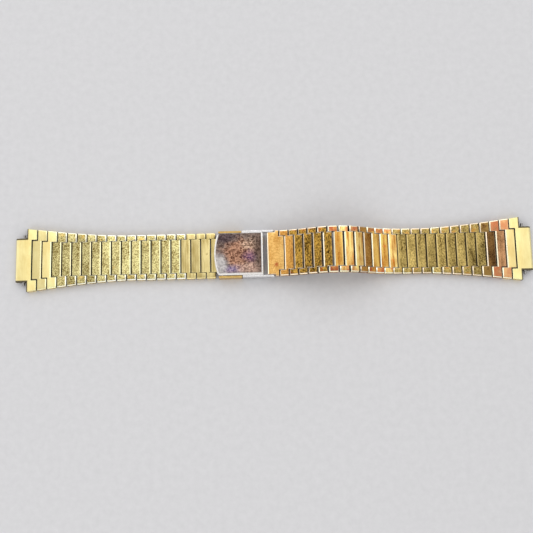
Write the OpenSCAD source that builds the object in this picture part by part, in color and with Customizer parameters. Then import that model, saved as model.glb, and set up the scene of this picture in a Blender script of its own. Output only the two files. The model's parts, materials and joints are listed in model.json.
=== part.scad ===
// Link watch bracelet with a three-leaf folding clasp, in millimetres, +Z up.
// The band runs along X and the clasp stands over the origin.
// A link is drawn with its outer pin hole at its own origin and its inner pin
// hole one pitch away, towards the clasp. The left half lies flat. The right
// half leaves the closed clasp, rises a little and comes down again.

/* [Band] */
// Distance from one hinge pin to the next
pitch = 3.1; // [3.0:0.05:3.4]
// Thickness of every link
link_t = 2.0; // [1.8:0.05:2.1]
// Width of the band at the watch case
end_w = 20.0; // [18:0.5:22]
// Width of the band in its narrow part
narrow_w = 14.2; // [14:0.1:15]
// Distance from the case over which the band narrows
taper_len = 31; // [24:1:40]
// How fast it narrows: 1 is a straight taper, 2 a hollow one
taper_power = 1.5; // [1:0.1:2]

/* [Links] */
// Length across the band of a centre bar in the narrow part
bar_w = 10.5; // [9.6:0.1:11]
// How much longer the centre bar next to an end piece is
bar_extra = 2.1; // [0:0.1:2.6]
// Links over which the centre bars lose that extra length
bar_steps = 4; // [2:1:8]
// Reach of a centre bar behind its own pin hole
bar_back = 0.78; // [0.65:0.01:0.8]
// Gap between two centre bars, seen from above
bar_gap = 0.32; // [0.28:0.02:0.4]
// Start of the side blocks in front of the outer pin hole
block_start = 0.85; // [0.82:0.01:0.95]
// Gap between two side blocks, seen from above
block_gap = 0.25; // [0.22:0.01:0.3]
// Running gap between a centre bar and the side blocks around it
side_gap = 0.12; // [0.08:0.01:0.2]
// Bevel on the top edges of bars and blocks
bevel = 0.15; // [0.05:0.01:0.2]
// Width of the polished edge of bars and blocks, on the side towards the clasp
polish_w = 0.34; // [0.2:0.02:0.5]
// How far that polished edge drops below the upper face
polish_drop = 0.16; // [0.05:0.01:0.25]
// Width of the polished edge along the outer sides of the blocks
outer_w = 0.3; // [0.1:0.02:0.5]
// How far the outer polished edge drops below the upper face
outer_drop = 0.15; // [0.05:0.01:0.25]

/* [Pins] */
// Radius of a hinge pin in the band
pin_r = 0.4; // [0.3:0.01:0.42]
// Radial clearance of a pin in the piece that holds it
held_clear = 0.02; // [0.01:0.005:0.03]
// Radial clearance of a pin in the piece that turns on it
turn_clear = 0.05; // [0.03:0.005:0.08]
// Depth of a pin's end below the edge of the band
pin_recess = 0.15; // [0.05:0.01:0.3]
// Radius of the two fold pins inside the clasp
fold_pin_r = 0.35; // [0.25:0.01:0.38]

/* [End pieces] */
// Width of the tongue that goes between the lugs of the case
tongue_w = 13.8; // [13.2:0.1:14]
// How far the tongue reaches past the shoulders
tongue_reach = 3.55; // [3.2:0.05:4]
// Start of the shoulders, from the end piece's own origin
shoulder_start = 0.6; // [0.5:0.01:0.7]

/* [Spring bars] */
// Distance from the shoulders to the spring bar's axis
bar_from_shoulder = 1.05; // [1.02:0.01:1.3]
// Outer radius of the spring bar's tube
tube_r = 0.75; // [0.7:0.01:0.78]
// Inner radius of that tube
tube_in_r = 0.62; // [0.6:0.01:0.65]
// Radius of the plunger's stem inside the tube
stem_r = 0.57; // [0.5:0.01:0.58]
// Radius of the plunger's flange
flange_r = 0.68; // [0.64:0.01:0.72]
// Thickness of that flange
flange_t = 0.2; // [0.15:0.05:0.3]
// Radius of the tip that enters the lug
tip_r = 0.4; // [0.3:0.01:0.42]
// Length of the tip outside its flange
tip_len = 0.9; // [0.7:0.05:1.1]
// Travel of a plunger
tip_travel = 0.9; // [0.7:0.05:1]
// Radial clearance of the tube in the tongue
tube_clear = 0.05; // [0.03:0.005:0.08]

/* [Clasp] */
// Half of the distance between the two folds
fold_x = 6.05; // [5.9:0.05:6.4]
// Height of the fold between the bottom leaf and the middle leaf
low_fold_z = 0.95; // [0.9:0.01:1.1]
// Height of the fold between the middle leaf and the cover
high_fold_z = 2.75; // [2.72:0.01:2.9]
// Radius of the clasp's knuckles
knuckle_r = 0.6; // [0.55:0.01:0.6]
// Thickness of the bottom leaf
base_t = 0.6; // [0.5:0.05:0.6]
// Thickness of the middle leaf
middle_t = 0.5; // [0.4:0.05:0.5]
// Height of the cover's upper face
cover_top = 3.95; // [3.9:0.05:4.2]
// Thickness of the cover's plate
cover_t = 0.5; // [0.4:0.05:0.5]
// Width of the cover's plate between the catch walls
plate_w = 13.2; // [13:0.1:13.3]
// Overall width of the clasp
clasp_w = 14.7; // [14.6:0.1:15]
// Reach of the cover's rounded lip to the left
lip_x = 8.6; // [8.4:0.1:8.8]
// Right edge of the cover's plate
plate_x = 6.5; // [6.2:0.1:6.8]
// Height of the catch walls on the bottom leaf
wall_top = 3.6; // [3.2:0.1:3.8]
// Running gap between neighbouring pieces of the clasp
clasp_gap = 0.15; // [0.1:0.01:0.2]
// Distance from the origin to the hinge that holds the left half
left_hinge = 5.83; // [5.8:0.01:6.0]
// Distance from the origin to the hinge that holds the right half
right_hinge = 9.3; // [9.2:0.1:9.6]
// Height of the hinge that holds the right half
right_hinge_z = 2.9; // [2.85:0.01:3.0]
// Reach of the wide right clasp link from its hinge towards the cover
wide_reach = 1.33; // [1.1:0.01:1.5]

/* [Hidden] */
left_links = 18;
right_links = 24;
half_t = link_t / 2;
bar_front = pitch - bar_back - bar_gap;
block_end = pitch + block_start - block_gap;
// The end of a block stays inside this distance from the pin, so that the
// next block can turn past it
turn_room = block_start - 0.08;
// Steepest turn that the underside of a block is cut back for
turn_deg = 45;
arc_steps = 6;
// Where the outer pin hole of link 1 lies, measured from the shoulders
first_pin = pitch - shoulder_start;
end_piece = 0;
left_clasp_link = left_links + 1;
right_clasp_link = right_links + 1;
// Slopes of the right half's links from the clasp outwards, in degrees
clasp_slope = 7;
hump = [14, 20, 23, 21, 14, 3, -9, -23, -31, -29, -22, -15, -8];
wall_in = plate_w / 2 + clasp_gap;
wall_out = clasp_w / 2;
fold_in_w = 6;
fold_out_w = 11.2;
middle_w = 12.6;
ear_w = 8.24;
left_tongue_w = 8;
base_left = 4.7;
base_right = 5.2;
wall_right = 0.15;
rail_left = 0.1;
rail_bottom = 0.3;
plunger_in = 3.4;
tube_half = tongue_w / 2 - tip_travel - 0.02;
spring_x = shoulder_start - bar_from_shoulder;
lip_r = 20;
lip_drop = 0.3;
eps = 0.01;

gold = [0.86, 0.7, 0.36];
light_gold = [0.9, 0.8, 0.52];
steel = [0.72, 0.72, 0.74];

function two(k) = k < 10 ? str("0", k) : str(k);

LEFT = [for (k = [1 : left_links]) str("link_left_", two(k))];
RIGHT = [for (k = [1 : right_links]) str("link_right_", two(k))];

// Width of the band at a distance from the shoulders
function band_w(d) = narrow_w
    + (end_w - narrow_w) * pow(max(0, 1 - d / taper_len), taper_power);

// Distance from the shoulders to the outer pin hole of link k
function along(k) = first_pin + (k - 1) * pitch;

// Length across the band of the centre bar of link k
function bar_len(k) = bar_w
    + bar_extra * pow(max(0, (bar_steps - k) / (bar_steps - 1)), 1.3);

// Inner width between the side blocks of link k
function slot_w(k) = bar_len(k + 1) + 2 * side_gap;

// Outer pin hole of link k in the left half
function left_x(k) = -left_hinge - pitch * (left_links + 2 - k);

// Height and length of the right half, link by link, j counted from the clasp
function rise(j) = j == 0
    ? right_hinge_z + pitch * sin(clasp_slope)
    : rise(j - 1) + pitch * sin(slope(j));
function run(j) = j == 0
    ? right_hinge + pitch * cos(clasp_slope)
    : run(j - 1) + pitch * cos(slope(j));
function landing() = asin((half_t - rise(len(hump))) / pitch);
function slope(j) = j <= len(hump)
    ? hump[j - 1]
    : (j == len(hump) + 1 ? landing() : 0);

// A profile in X and Z, drawn out along Y to a length centred on the band
module slab(points, length) {
    rotate([90, 0, 0])
        linear_extrude(height = length, center = true)
            polygon(points);
}

// A rod along Y, centred on the band
module rod(r, length) {
    rotate([90, 0, 0])
        cylinder(r = r, h = length, center = true, $fn = 48);
}

// A box given by two corners
module box(a, b) {
    translate(a)
        cube([b[0] - a[0], b[1] - a[1], b[2] - a[2]]);
}

// Side view of a centre bar: its back end is round below, to turn freely
function bar_side(front) = concat(
    [for (i = [0 : arc_steps])
        let (a = 270 - i * (90 - acos(bar_back / half_t)) / arc_steps)
            [half_t * cos(a), half_t * sin(a)]],
    [[-bar_back, 0], [-bar_back, half_t - bevel], [-bar_back + bevel, half_t]],
    [[front - polish_w, half_t], [front, half_t - polish_drop]],
    [[front, -half_t + bevel], [front - bevel, -half_t]]
);

// Side view of a side block: cut back below its inner end, with an upper edge
// of the given width and drop there
function block_side(start, edge_w, edge_drop) = let (
    cut = turn_room / cos(turn_deg),
    e = block_end - pitch
) [
    [start + bevel, -half_t],
    [start, -half_t + bevel],
    [start, half_t - bevel],
    [start + bevel, half_t],
    [block_end - edge_w, half_t],
    [block_end, half_t - edge_drop],
    [block_end, -(cut - e)],
    [pitch + cut - half_t, -half_t]
];

// Both side blocks of link k, following the taper, with bevelled outer edges.
// An end piece is plain: its shoulders have no polished edge.
module side_blocks(k, start) {
    y0 = slot_w(k) / 2;
    y1 = band_w(along(k) + start) / 2;
    y2 = band_w(along(k) + block_end) / 2;
    lean = atan2(y2 - y1, block_end - start);
    plain = k == end_piece;
    out_w = plain ? bevel : outer_w;
    out_drop = plain ? bevel : outer_drop;
    for (side = [-1, 1])
        difference() {
            intersection() {
                slab(
                    block_side(start, plain ? bevel : polish_w, plain ? bevel : polish_drop),
                    end_w + 2
                );
                translate([0, 0, -half_t - 1])
                    linear_extrude(height = link_t + 2)
                        polygon([
                            [start - 1, side * y0],
                            [block_end + 1, side * y0],
                            [block_end + 1, side * (y2 + (y2 - y1) / (block_end - start))],
                            [start - 1, side * (y1 - (y2 - y1) / (block_end - start))]
                        ]);
            }
            translate([start, side * y1, half_t])
                rotate([0, 0, side * lean])
                    rotate([90, 0, 90])
                        translate([0, 0, -1])
                            linear_extrude(height = block_end - start + 2)
                                polygon([
                                    [-side * out_w, 0],
                                    [0, -out_drop],
                                    [side, -out_drop],
                                    [side, 1],
                                    [-side * out_w, 1]
                                ]);
        }
}

// The strip that joins a centre bar to its two side blocks
module web(k, start) {
    box([start + bevel, -slot_w(k) / 2 - 0.3, -half_t],
        [bar_front - max(bevel, polish_w), slot_w(k) / 2 + 0.3, half_t]);
}

// The hinge pin that link k carries at its inner hole
module link_pin(k) {
    translate([pitch, 0, 0])
        rod(pin_r, band_w(along(k) + pitch) - 2 * pin_recess);
}

// One link of the band, with its pin as a separate solid
module link(k) {
    color(gold) {
        difference() {
            union() {
                slab(bar_side(bar_front), bar_len(k));
                web(k, block_start);
                side_blocks(k, block_start);
            }
            rod(pin_r + turn_clear, end_w + 2);
            translate([pitch, 0, 0])
                rod(pin_r + held_clear, end_w + 2);
        }
        link_pin(k);
    }
}

// Side view of the tongue, round at its free end
function tongue_side() = let (
    tip = shoulder_start - tongue_reach,
    r = half_t * 0.8
) concat(
    [for (i = [0 : arc_steps])
        let (a = 270 - 90 * i / arc_steps)
            [tip + r + r * cos(a), -half_t + r + r * sin(a)]],
    [for (i = [0 : arc_steps])
        let (a = 180 - 90 * i / arc_steps)
            [tip + r + r * cos(a), half_t - r + r * sin(a)]],
    [[bar_front - bevel, half_t], [bar_front, half_t - bevel]],
    [[bar_front, -half_t + bevel], [bar_front - bevel, -half_t]]
);

// End piece: tongue with the spring bar's bore, and the two shoulders
module end_link() {
    color(light_gold) {
        difference() {
            union() {
                slab(tongue_side(), tongue_w);
                side_blocks(end_piece, shoulder_start);
            }
            translate([spring_x, 0, 0])
                rod(tube_r + tube_clear, tongue_w + 2);
            translate([pitch, 0, 0])
                rod(pin_r + held_clear, end_w + 2);
        }
        link_pin(end_piece);
    }
}

// Tube of a spring bar, open at both ends for its plungers
module spring_tube() {
    color(steel)
        translate([spring_x, 0, 0])
            difference() {
                rod(tube_r, 2 * tube_half);
                rod(tube_in_r, 2 * tube_half + 2);
            }
}

// One plunger of a spring bar, at +Y: stem, flange and tip
module spring_tip() {
    flange_y = tongue_w / 2;
    color(steel)
        translate([spring_x, 0, 0])
            rotate([-90, 0, 0]) {
                translate([0, 0, plunger_in])
                    cylinder(r = stem_r, h = flange_y - plunger_in + eps, $fn = 48);
                translate([0, 0, flange_y])
                    cylinder(r = flange_r, h = flange_t, $fn = 48);
                translate([0, 0, flange_y + flange_t - eps])
                    cylinder(r = tip_r, h = tip_len + eps, $fn = 48);
            }
}

// Link between the left half and the bottom leaf, narrow at its inner end
module left_link_to_clasp() {
    neck = pitch - half_t - 0.2;
    color(gold)
        difference() {
            union() {
                slab(bar_side(neck), bar_len(left_clasp_link));
                translate([pitch, 0, 0])
                    rod(half_t, left_tongue_w);
                box([neck - 0.3, -left_tongue_w / 2, -half_t],
                    [pitch, left_tongue_w / 2, half_t]);
            }
            rod(pin_r + turn_clear, end_w);
            translate([pitch, 0, 0])
                rod(pin_r + turn_clear, end_w);
        }
}

// Wide link between the cover's arms and the right half
module right_link_to_clasp() {
    reach = pitch + wide_reach;
    wing_end = pitch - 1.15;
    color(gold)
        difference() {
            union() {
                slab(bar_side(bar_front), bar_len(right_clasp_link));
                slab([
                    [block_start + bevel, -half_t],
                    [block_start, -half_t + bevel],
                    [block_start, half_t - bevel],
                    [block_start + bevel, half_t],
                    [reach - polish_w, half_t],
                    [reach, half_t - polish_drop],
                    [reach, -half_t + 2 * bevel],
                    [reach - 2 * bevel, -half_t]
                ], plate_w);
                box([block_start, -narrow_w / 2, -half_t + bevel],
                    [wing_end, narrow_w / 2, half_t - bevel]);
                box([block_start + bevel, -narrow_w / 2 + bevel, -half_t],
                    [wing_end - bevel, narrow_w / 2 - bevel, half_t]);
            }
            rod(pin_r + turn_clear, end_w);
            translate([pitch, 0, 0])
                rod(pin_r + turn_clear, end_w);
        }
}

// Bottom leaf: base plate, two catch walls, the left half's ears and two
// knuckles at the low fold
module base_leaf() {
    color(gold)
        difference() {
            union() {
                box([-base_left, -wall_in - eps, 0], [-wall_right, wall_in + eps, base_t]);
                box([-wall_right - eps, -plate_w / 2, 0], [base_right, plate_w / 2, base_t]);
                for (side = [-1, 1]) {
                    wall(side);
                    ear(side);
                    translate([0, side * (fold_in_w + fold_out_w + 2 * clasp_gap) / 4, 0])
                        low_knuckle((fold_out_w - fold_in_w) / 2 - clasp_gap);
                }
            }
            translate([-left_hinge, 0, half_t])
                rod(pin_r + held_clear, clasp_w + 2);
            translate([fold_x, 0, low_fold_z])
                rod(fold_pin_r + held_clear, clasp_w);
        }
}

// Catch wall beside the cover's plate, with a bevelled upper outer edge
module wall(side) {
    slope_in = 0.2;
    left = left_hinge + half_t + 0.45;
    translate([-left, 0, 0])
        rotate([90, 0, 90])
            linear_extrude(height = left - wall_right)
                polygon([
                    [side * wall_in, 0],
                    [side * wall_in, wall_top],
                    [side * (wall_out - slope_in), wall_top],
                    [side * wall_out, wall_top - slope_in],
                    [side * wall_out, 0]
                ]);
}

// Ear of the bottom leaf that holds the pin of the left half
module ear(side) {
    mid = side * (ear_w / 2 + wall_in) / 2;
    wide = wall_in - ear_w / 2 + 2 * eps;
    translate([-left_hinge, mid, half_t])
        rod(half_t, wide);
    box([-left_hinge, mid - wide / 2, 0], [-base_left + eps, mid + wide / 2, half_t]);
}

// Knuckle of the bottom leaf at the low fold
module low_knuckle(length) {
    translate([fold_x, 0, low_fold_z])
        rod(knuckle_r, length);
    box([base_right - eps, -length / 2, 0], [fold_x, length / 2, base_t]);
}

// Middle leaf: a plate between the two folds with one knuckle at each end
module fold_leaf() {
    span = sqrt(pow(2 * fold_x, 2) + pow(high_fold_z - low_fold_z, 2));
    lean = atan2(high_fold_z - low_fold_z, 2 * fold_x);
    inset = knuckle_r + clasp_gap;
    color(steel)
        translate([-fold_x, 0, high_fold_z])
            rotate([0, lean, 0])
                difference() {
                    union() {
                        box([inset, -middle_w / 2, -middle_t / 2],
                            [span - inset, middle_w / 2, middle_t / 2]);
                        box([0, -fold_in_w / 2, -middle_t / 2],
                            [span, fold_in_w / 2, middle_t / 2]);
                        rod(knuckle_r, fold_in_w);
                        translate([span, 0, 0])
                            rod(knuckle_r, fold_in_w);
                    }
                    rod(fold_pin_r + turn_clear, clasp_w);
                    translate([span, 0, 0])
                        rod(fold_pin_r + turn_clear, clasp_w);
                }
}

// Plan view of the cover's plate, with its rounded lip on the left
function plate_plan(inset) = let (
    w = plate_w / 2 - inset,
    r = lip_r - inset,
    centre = lip_r - lip_x,
    corner = 0.6,
    side_x = centre - sqrt(r * r - w * w)
) concat(
    [for (i = [-arc_steps : arc_steps])
        let (y = (w - corner) * i / arc_steps)
            [centre - sqrt(r * r - y * y), y]],
    [[side_x + corner / 3, w - corner / 3], [side_x + corner, w]],
    [[plate_x - inset, w], [plate_x - inset, -w]],
    [[side_x + corner, -w], [side_x + corner / 3, -w + corner / 3]]
);

// Cover: plate with a finger lip, two side rails that go on as arms, and two
// knuckles at the high fold
module top_leaf() {
    under = cover_top - cover_t;
    rim = 0.12;
    color(steel)
        difference() {
            union() {
                translate([0, 0, under])
                    linear_extrude(height = cover_t - rim)
                        polygon(plate_plan(0));
                translate([0, 0, cover_top - rim - eps])
                    linear_extrude(height = rim + eps)
                        polygon(plate_plan(rim));
                intersection() {
                    translate([0, 0, under - lip_drop])
                        linear_extrude(height = lip_drop + eps)
                            polygon(plate_plan(0));
                    box([-lip_x, -plate_w / 2 + 1, 0], [-lip_x + 0.6, plate_w / 2 - 1, cover_top]);
                }
                for (side = [-1, 1]) {
                    rail(side);
                    translate([0, side * (fold_in_w + fold_out_w + 2 * clasp_gap) / 4, 0])
                        high_knuckle((fold_out_w - fold_in_w) / 2 - clasp_gap);
                }
            }
            translate([right_hinge, 0, right_hinge_z])
                rod(pin_r + held_clear, clasp_w + 2);
            translate([-fold_x, 0, high_fold_z])
                rod(fold_pin_r + held_clear, fold_out_w + 2);
        }
}

// Side rail of the cover and the arm that reaches to the right half
module rail(side) {
    arm_r = 0.88;
    thick = wall_out - wall_in;
    mid = side * (wall_in + wall_out) / 2;
    translate([0, mid, 0]) {
        slab([
            [rail_left, rail_bottom],
            [rail_left, cover_top - bevel],
            [rail_left + bevel, cover_top],
            [plate_x - bevel, cover_top],
            [plate_x, cover_top - bevel],
            [right_hinge, right_hinge_z + arm_r],
            [right_hinge, right_hinge_z - arm_r],
            [plate_x - 0.4, rail_bottom + 0.5],
            [plate_x - 0.9, rail_bottom]
        ], thick);
        translate([right_hinge, 0, right_hinge_z])
            rod(arm_r, thick);
    }
    y0 = side > 0 ? plate_w / 2 - eps : -wall_in - eps;
    y1 = side > 0 ? wall_in + eps : -plate_w / 2 + eps;
    box([rail_left, y0, cover_top - cover_t], [plate_x - bevel, y1, cover_top - bevel]);
}

// Knuckle of the cover at the high fold
module high_knuckle(length) {
    translate([-fold_x, 0, high_fold_z])
        rod(knuckle_r, length);
    box([-fold_x - knuckle_r, -length / 2, high_fold_z],
        [-fold_x + knuckle_r, length / 2, cover_top - cover_t + eps]);
}

// Places a link of the left half, or its end piece
module on_left(k) {
    translate([left_x(k), 0, half_t])
        children();
}

// Places a link of the right half, j counted from the clasp
module on_right(j, tilt) {
    translate([run(j), 0, rise(j)])
        rotate([0, -tilt, 0])
            rotate([0, 0, 180])
                children();
}

// A plunger on one side of its tube or, turned over, on the other
module tip_at(over) {
    rotate([over ? 180 : 0, 0, 0])
        spring_tip();
}

for (k = [1 : left_links])
    on_left(k)
            link(k);

for (k = [1 : right_links])
    on_right(right_links + 1 - k, slope(right_links + 1 - k))
            link(k);

on_left(end_piece)  // end_piece_left
        end_link();

translate([pitch, 0, 0])  // end_piece_right
        on_right(right_links, 0)
            end_link();

on_left(left_clasp_link)  // clasp_link_left
        left_link_to_clasp();

on_right(0, clasp_slope)  // clasp_link_right
        right_link_to_clasp();

base_leaf();  // bottom_leaf

fold_leaf();  // middle_leaf

top_leaf();  // cover_leaf

color(steel)  // pin_left_half
        translate([-left_hinge, 0, half_t])
            rod(pin_r, clasp_w - 2 * pin_recess);

color(steel)  // pin_low_fold
        translate([fold_x, 0, low_fold_z])
            rod(fold_pin_r, fold_out_w);

color(steel)  // pin_high_fold
        translate([-fold_x, 0, high_fold_z])
            rod(fold_pin_r, fold_out_w);

color(steel)  // pin_right_half
        translate([right_hinge, 0, right_hinge_z])
            rod(pin_r, clasp_w - 2 * pin_recess);

on_left(end_piece)  // spring_tube_left
        spring_tube();

translate([pitch, 0, 0])  // spring_tube_right
        on_right(right_links, 0)
            spring_tube();

on_left(end_piece)  // spring_tip_left_back
        tip_at(false);

on_left(end_piece)  // spring_tip_left_front
        tip_at(true);

translate([pitch, 0, 0])  // spring_tip_right_back
        on_right(right_links, 0)
            tip_at(true);

translate([pitch, 0, 0])  // spring_tip_right_front
        on_right(right_links, 0)
            tip_at(false);
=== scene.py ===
"""A link watch bracelet with a folding clasp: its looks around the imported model."""

import json
import math

import bmesh
import bpy
from mathutils import Matrix, Vector


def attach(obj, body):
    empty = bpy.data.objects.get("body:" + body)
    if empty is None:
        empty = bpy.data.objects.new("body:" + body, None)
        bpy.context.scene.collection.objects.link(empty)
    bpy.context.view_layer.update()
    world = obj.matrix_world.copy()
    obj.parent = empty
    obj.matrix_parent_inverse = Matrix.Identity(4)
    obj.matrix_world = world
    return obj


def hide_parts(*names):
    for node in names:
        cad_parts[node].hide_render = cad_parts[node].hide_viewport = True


MM = 0.001

# The links, in millimetres: a link's own origin is its outer pin hole, its
# inner pin is one pitch away along X, and its upper face is at Z = HALF_T
PITCH = 3.1
HALF_T = 1.0
BAR_BACK = 0.78
BAR_FRONT = 2.0
BLOCK_START = 0.85
BLOCK_END = 3.7
BLOCK_CUT_X = 3.189
BLOCK_CUT_Z = -0.489
SHOULDER_START = 0.6
TONGUE_TIP = -2.95
TONGUE_W = 13.8
TONGUE_ROUND = 0.8
SIDE_GAP = 0.12
WEB_GRIP = 0.3
WEB_RISE = 0.03
PIN_R = 0.4
PIN_SIDES = 28
PIN_CHAMFER = 0.12
PIN_RECESS = 0.15
HELD_BORE_R = 0.42
TURN_BORE_R = 0.45
SPRING_X = -0.45
SPRING_BORE_R = 0.8
LEFT_LINKS = 18
RIGHT_LINKS = 24

# How far a bore reaches from the middle: through a centre bar, or through the blocks too
BAR_BORE = 8.0
BAND_BORE = 15.0

# Width of the band, from the shoulders to the narrow part
NARROW_W = 14.2
END_W = 20.0
TAPER_LEN = 31.0
TAPER_POWER = 1.5

# Length of the centre bars across the band: the first few are longer
BAR_LEN = 10.5
BAR_MORE = 2.1
BAR_MORE_TO = 4
BAR_POWER = 1.3

# Edges of a worn link: a narrow round on most, and wide polished ones towards
# the clasp and along the outer sides
EDGE = 0.12
BACK_EDGE = 0.16
SHARP_EDGE = 0.05
POLISHED_EDGE = 0.34
POLISHED_DROP = 0.16
OUTER_EDGE = 0.3
OUTER_DROP = 0.15
OUTER_FROM_Z = 0.5
SHOULDER_EDGE = 0.15
BLOCK_ROUND = 0.06
WEB_EDGE = 0.02
WEB_ROUND = 0.01
ROUND_STEPS = 3
FIRST_STEP = 0.3

# X about which each side view shrinks where its solid's ends are rounded
BAR_MID = 0.61
TONGUE_MID = -0.47
BLOCK_MID = 2.27
WEB_MID = 1.4
NECK_MID = 0.56
ROUND_TONGUE_MID = 2.7
WIDE_MID = 2.64
WINGS_MID = 1.4

# The links next to the clasp
WIDE_BODY = 6.6
WIDE_WINGS = 7.1
WIDE_REACH = 4.43
WIDE_BEVEL = 0.3
WING_END = 1.95
ROUND_TONGUE = 4.0
NECK = 1.9
NECK_OVERLAP = 0.6

# The leaves of the clasp: their worn edges, the round of the cover's lip and
# the part of the cover that is tarnished
LEAF_EDGE = 0.07
THIN_LEAF_EDGE = 0.04
LIP_REACH = 8.6
LIP_RADIUS = 20.0
PLATE_HALF_W = 6.62
PLATE_END = 6.45

# Where the cover is rubbed bright, with a painted highlight along its rim, from not
# at all to fully: inwards from the lip's round, and at these places along Y and X
LIP_RUBBED_SHEEN = (0.6, 0.3)
NEAR_RUBBED_SHEEN = (-5.8, -6.15)
END_RUBBED_SHEEN = (5.9, 6.15)

# Faces are told apart by how far they point along an axis, from none to all
FLANK_FACING = (0.8, 0.95)
EDGE_FACING = (0.985, 0.93)
AWAY_FACING = (-0.5, -0.2)
GAP_FACING = (0.72, 0.85)
FLAT_FACING = 0.97
UP_FACING = 0.3

# Where the faces inside the gaps begin, and how far past the slot they count
GAP_FROM_X = -1.6
GAP_MARGIN = 0.03

# Share of polish and its painted highlight on the edges that face away from the clasp, with the
# others at 1
DULL_TRIM = 0.3

# Bends past which an edge is shaded sharp, is eased and isn't flat, and how near
# two points are one, in metres
SHARP_BEND = math.radians(38)
EASED_BEND = math.radians(40)
FLAT_BEND = math.radians(0.5)
SAME_POINT = 1e-6

# How much more the large faces of a link count in its shading than its edges
FLAT_WEIGHT = 80

# Wear shows where a noise is above a level, which falls as the worn share grows
WORN_LEVEL = 0.7
STAIN_FALL = 0.3
STAIN_SOFT = 0.1
STAIN_FULL = 0.85
TINT_FALL = 0.4
TINT_SOFT = 0.14
TINT_FULL = 0.9
RUST_REACH = (0.9, 0.3)
RUST_RAGGED = 1.2
RUST_FULL = 0.8

# Painted shade in the gaps: its strength behind bars and blocks, how metallic it is and how much
# duller
SHADE_BEHIND = 0.9
SHADE_METAL = 0.2
SHADE_DULLER = 0.3

# Brightness of a link, which paints light and shade: from its back to its front,
# painted brighter towards the clasp, with a tone of 0, and what a tone of 1 adds
PAINTED_LEAN = (0.92, 1.06)
TONE_BASE = 0.62
TONE_GAIN = 0.48

# Roughness of polished edges, and how far that of a face varies down and up
EDGE_GLOSS = 0.24
GLOSSIER = 0.08
DULLER = 0.1

# The view, in millimetres and degrees
FRAME_MM = 166.5
CAMERA_AWAY = 244.6
CAMERA_TILT = 9.1
CAMERA_ROLL = 1.4
VIEW_CENTRE = (7.5, -3.7, 1.0)
SENSOR_MM = 36.0
NEAREST_M = 0.01

# The lamps: name, place and target in metres, width and depth, power in watts
LAMPS = (
    ("key", (0.02, 0.34, 0.44), (0.0, 0.0, 0.0), (1.0, 0.6), 1.44),
    ("side", (-0.5, 0.02, 0.19), (0.03, 0.0, 0.0), (0.4, 0.2), 0.2),
    ("fill", (-0.05, -0.4, 0.27), (0.0, 0.0, 0.0), (0.7, 0.35), 0.58),
)
FLOOR_REACH = 2

# The background's strength: low, high, its dip straight above, and as it is
# seen, and the heights, up to 1, between which it rises and dips
LOW_GLOW = 0.36
HIGH_GLOW = 0.82
TOP_DIP = 0.2
SEEN_GLOW = 0.6
RISE_HEIGHTS = (0.08, 0.42)
DIP_HEIGHTS = (0.7, 1.0)


def linear(red, green, blue):
    """A colour as a screen shows it, from 0 to 255, for a shader's socket."""
    channels = [value / 255 for value in (red, green, blue)]
    mixed = [c / 12.92 if c <= 0.04045 else ((c + 0.055) / 1.055) ** 2.4 for c in channels]
    return (*mixed, 1.0)


# near-white colours of polished edges, which paint their highlight; WARM_WHITE also warms the side
# faces
WHITE_GOLD = linear(255, 246, 200)
WARM_WHITE = linear(255, 236, 208)
# painted shade for the gaps between links and along their far edges
GAP_SHADE = linear(24, 12, 12)
RUST = linear(176, 84, 50)
# bare steel where the cover is rubbed, and the painted highlight along its rim
BARE_STEEL_SHEEN = linear(240, 237, 234)


class Nodes:
    """Writes a node tree as plain calls: sockets are fed with links or values."""

    def __init__(self, tree):
        self.tree = tree

    def feed(self, socket, value):
        if isinstance(value, bpy.types.NodeSocket):
            self.tree.links.new(value, socket)
        else:
            socket.default_value = value

    def add(self, kind, inputs=None, **settings):
        node = self.tree.nodes.new(kind)
        for name, value in settings.items():
            setattr(node, name, value)
        for name, value in (inputs or {}).items():
            self.feed(node.inputs[name], value)
        return node

    def out(self, kind, inputs=None, **settings):
        """What a new node gives from its first socket."""
        return self.add(kind, inputs, **settings).outputs[0]

    def maths(self, operation, *values, clamp=False):
        node = self.add("ShaderNodeMath", operation=operation, use_clamp=clamp)
        for socket, value in zip(node.inputs, values):
            self.feed(socket, value)
        return node.outputs[0]

    def plus(self, first, second):
        return self.maths("ADD", first, second)

    def minus(self, first, second):
        return self.maths("SUBTRACT", first, second)

    def times(self, first, second):
        return self.maths("MULTIPLY", first, second)

    def over(self, first, second):
        return self.maths("DIVIDE", first, second)

    def larger(self, first, second):
        return self.maths("MAXIMUM", first, second)

    def beyond(self, value, limit):
        """1 where the value is past the limit, else 0."""
        return self.maths("GREATER_THAN", value, limit)

    def below(self, value, limit):
        """1 where the value is short of the limit, else 0."""
        return self.maths("LESS_THAN", value, limit)

    def absolute(self, value):
        """The value without its sign."""
        return self.maths("ABSOLUTE", value)

    def hypotenuse(self, across, along):
        """The distance that two distances at right angles make."""
        squares = self.plus(self.times(across, across), self.times(along, along))
        return self.maths("SQRT", squares)

    def vector(self, x, y, z):
        return self.out("ShaderNodeCombineXYZ", {"X": x, "Y": y, "Z": z})

    def axes(self, vector):
        """The parts of a vector along X, Y and Z."""
        return tuple(self.add("ShaderNodeSeparateXYZ", {"Vector": vector}).outputs)

    def band(self, value, low, high, to_low=0.0, to_high=1.0):
        """Maps low to high onto another range, and stays inside it."""
        return self.out(
            "ShaderNodeMapRange",
            {
                "Value": value,
                "From Min": low,
                "From Max": high,
                "To Min": to_low,
                "To Max": to_high,
            },
        )


# ---------------------------------------------------------------- band pieces


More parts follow.
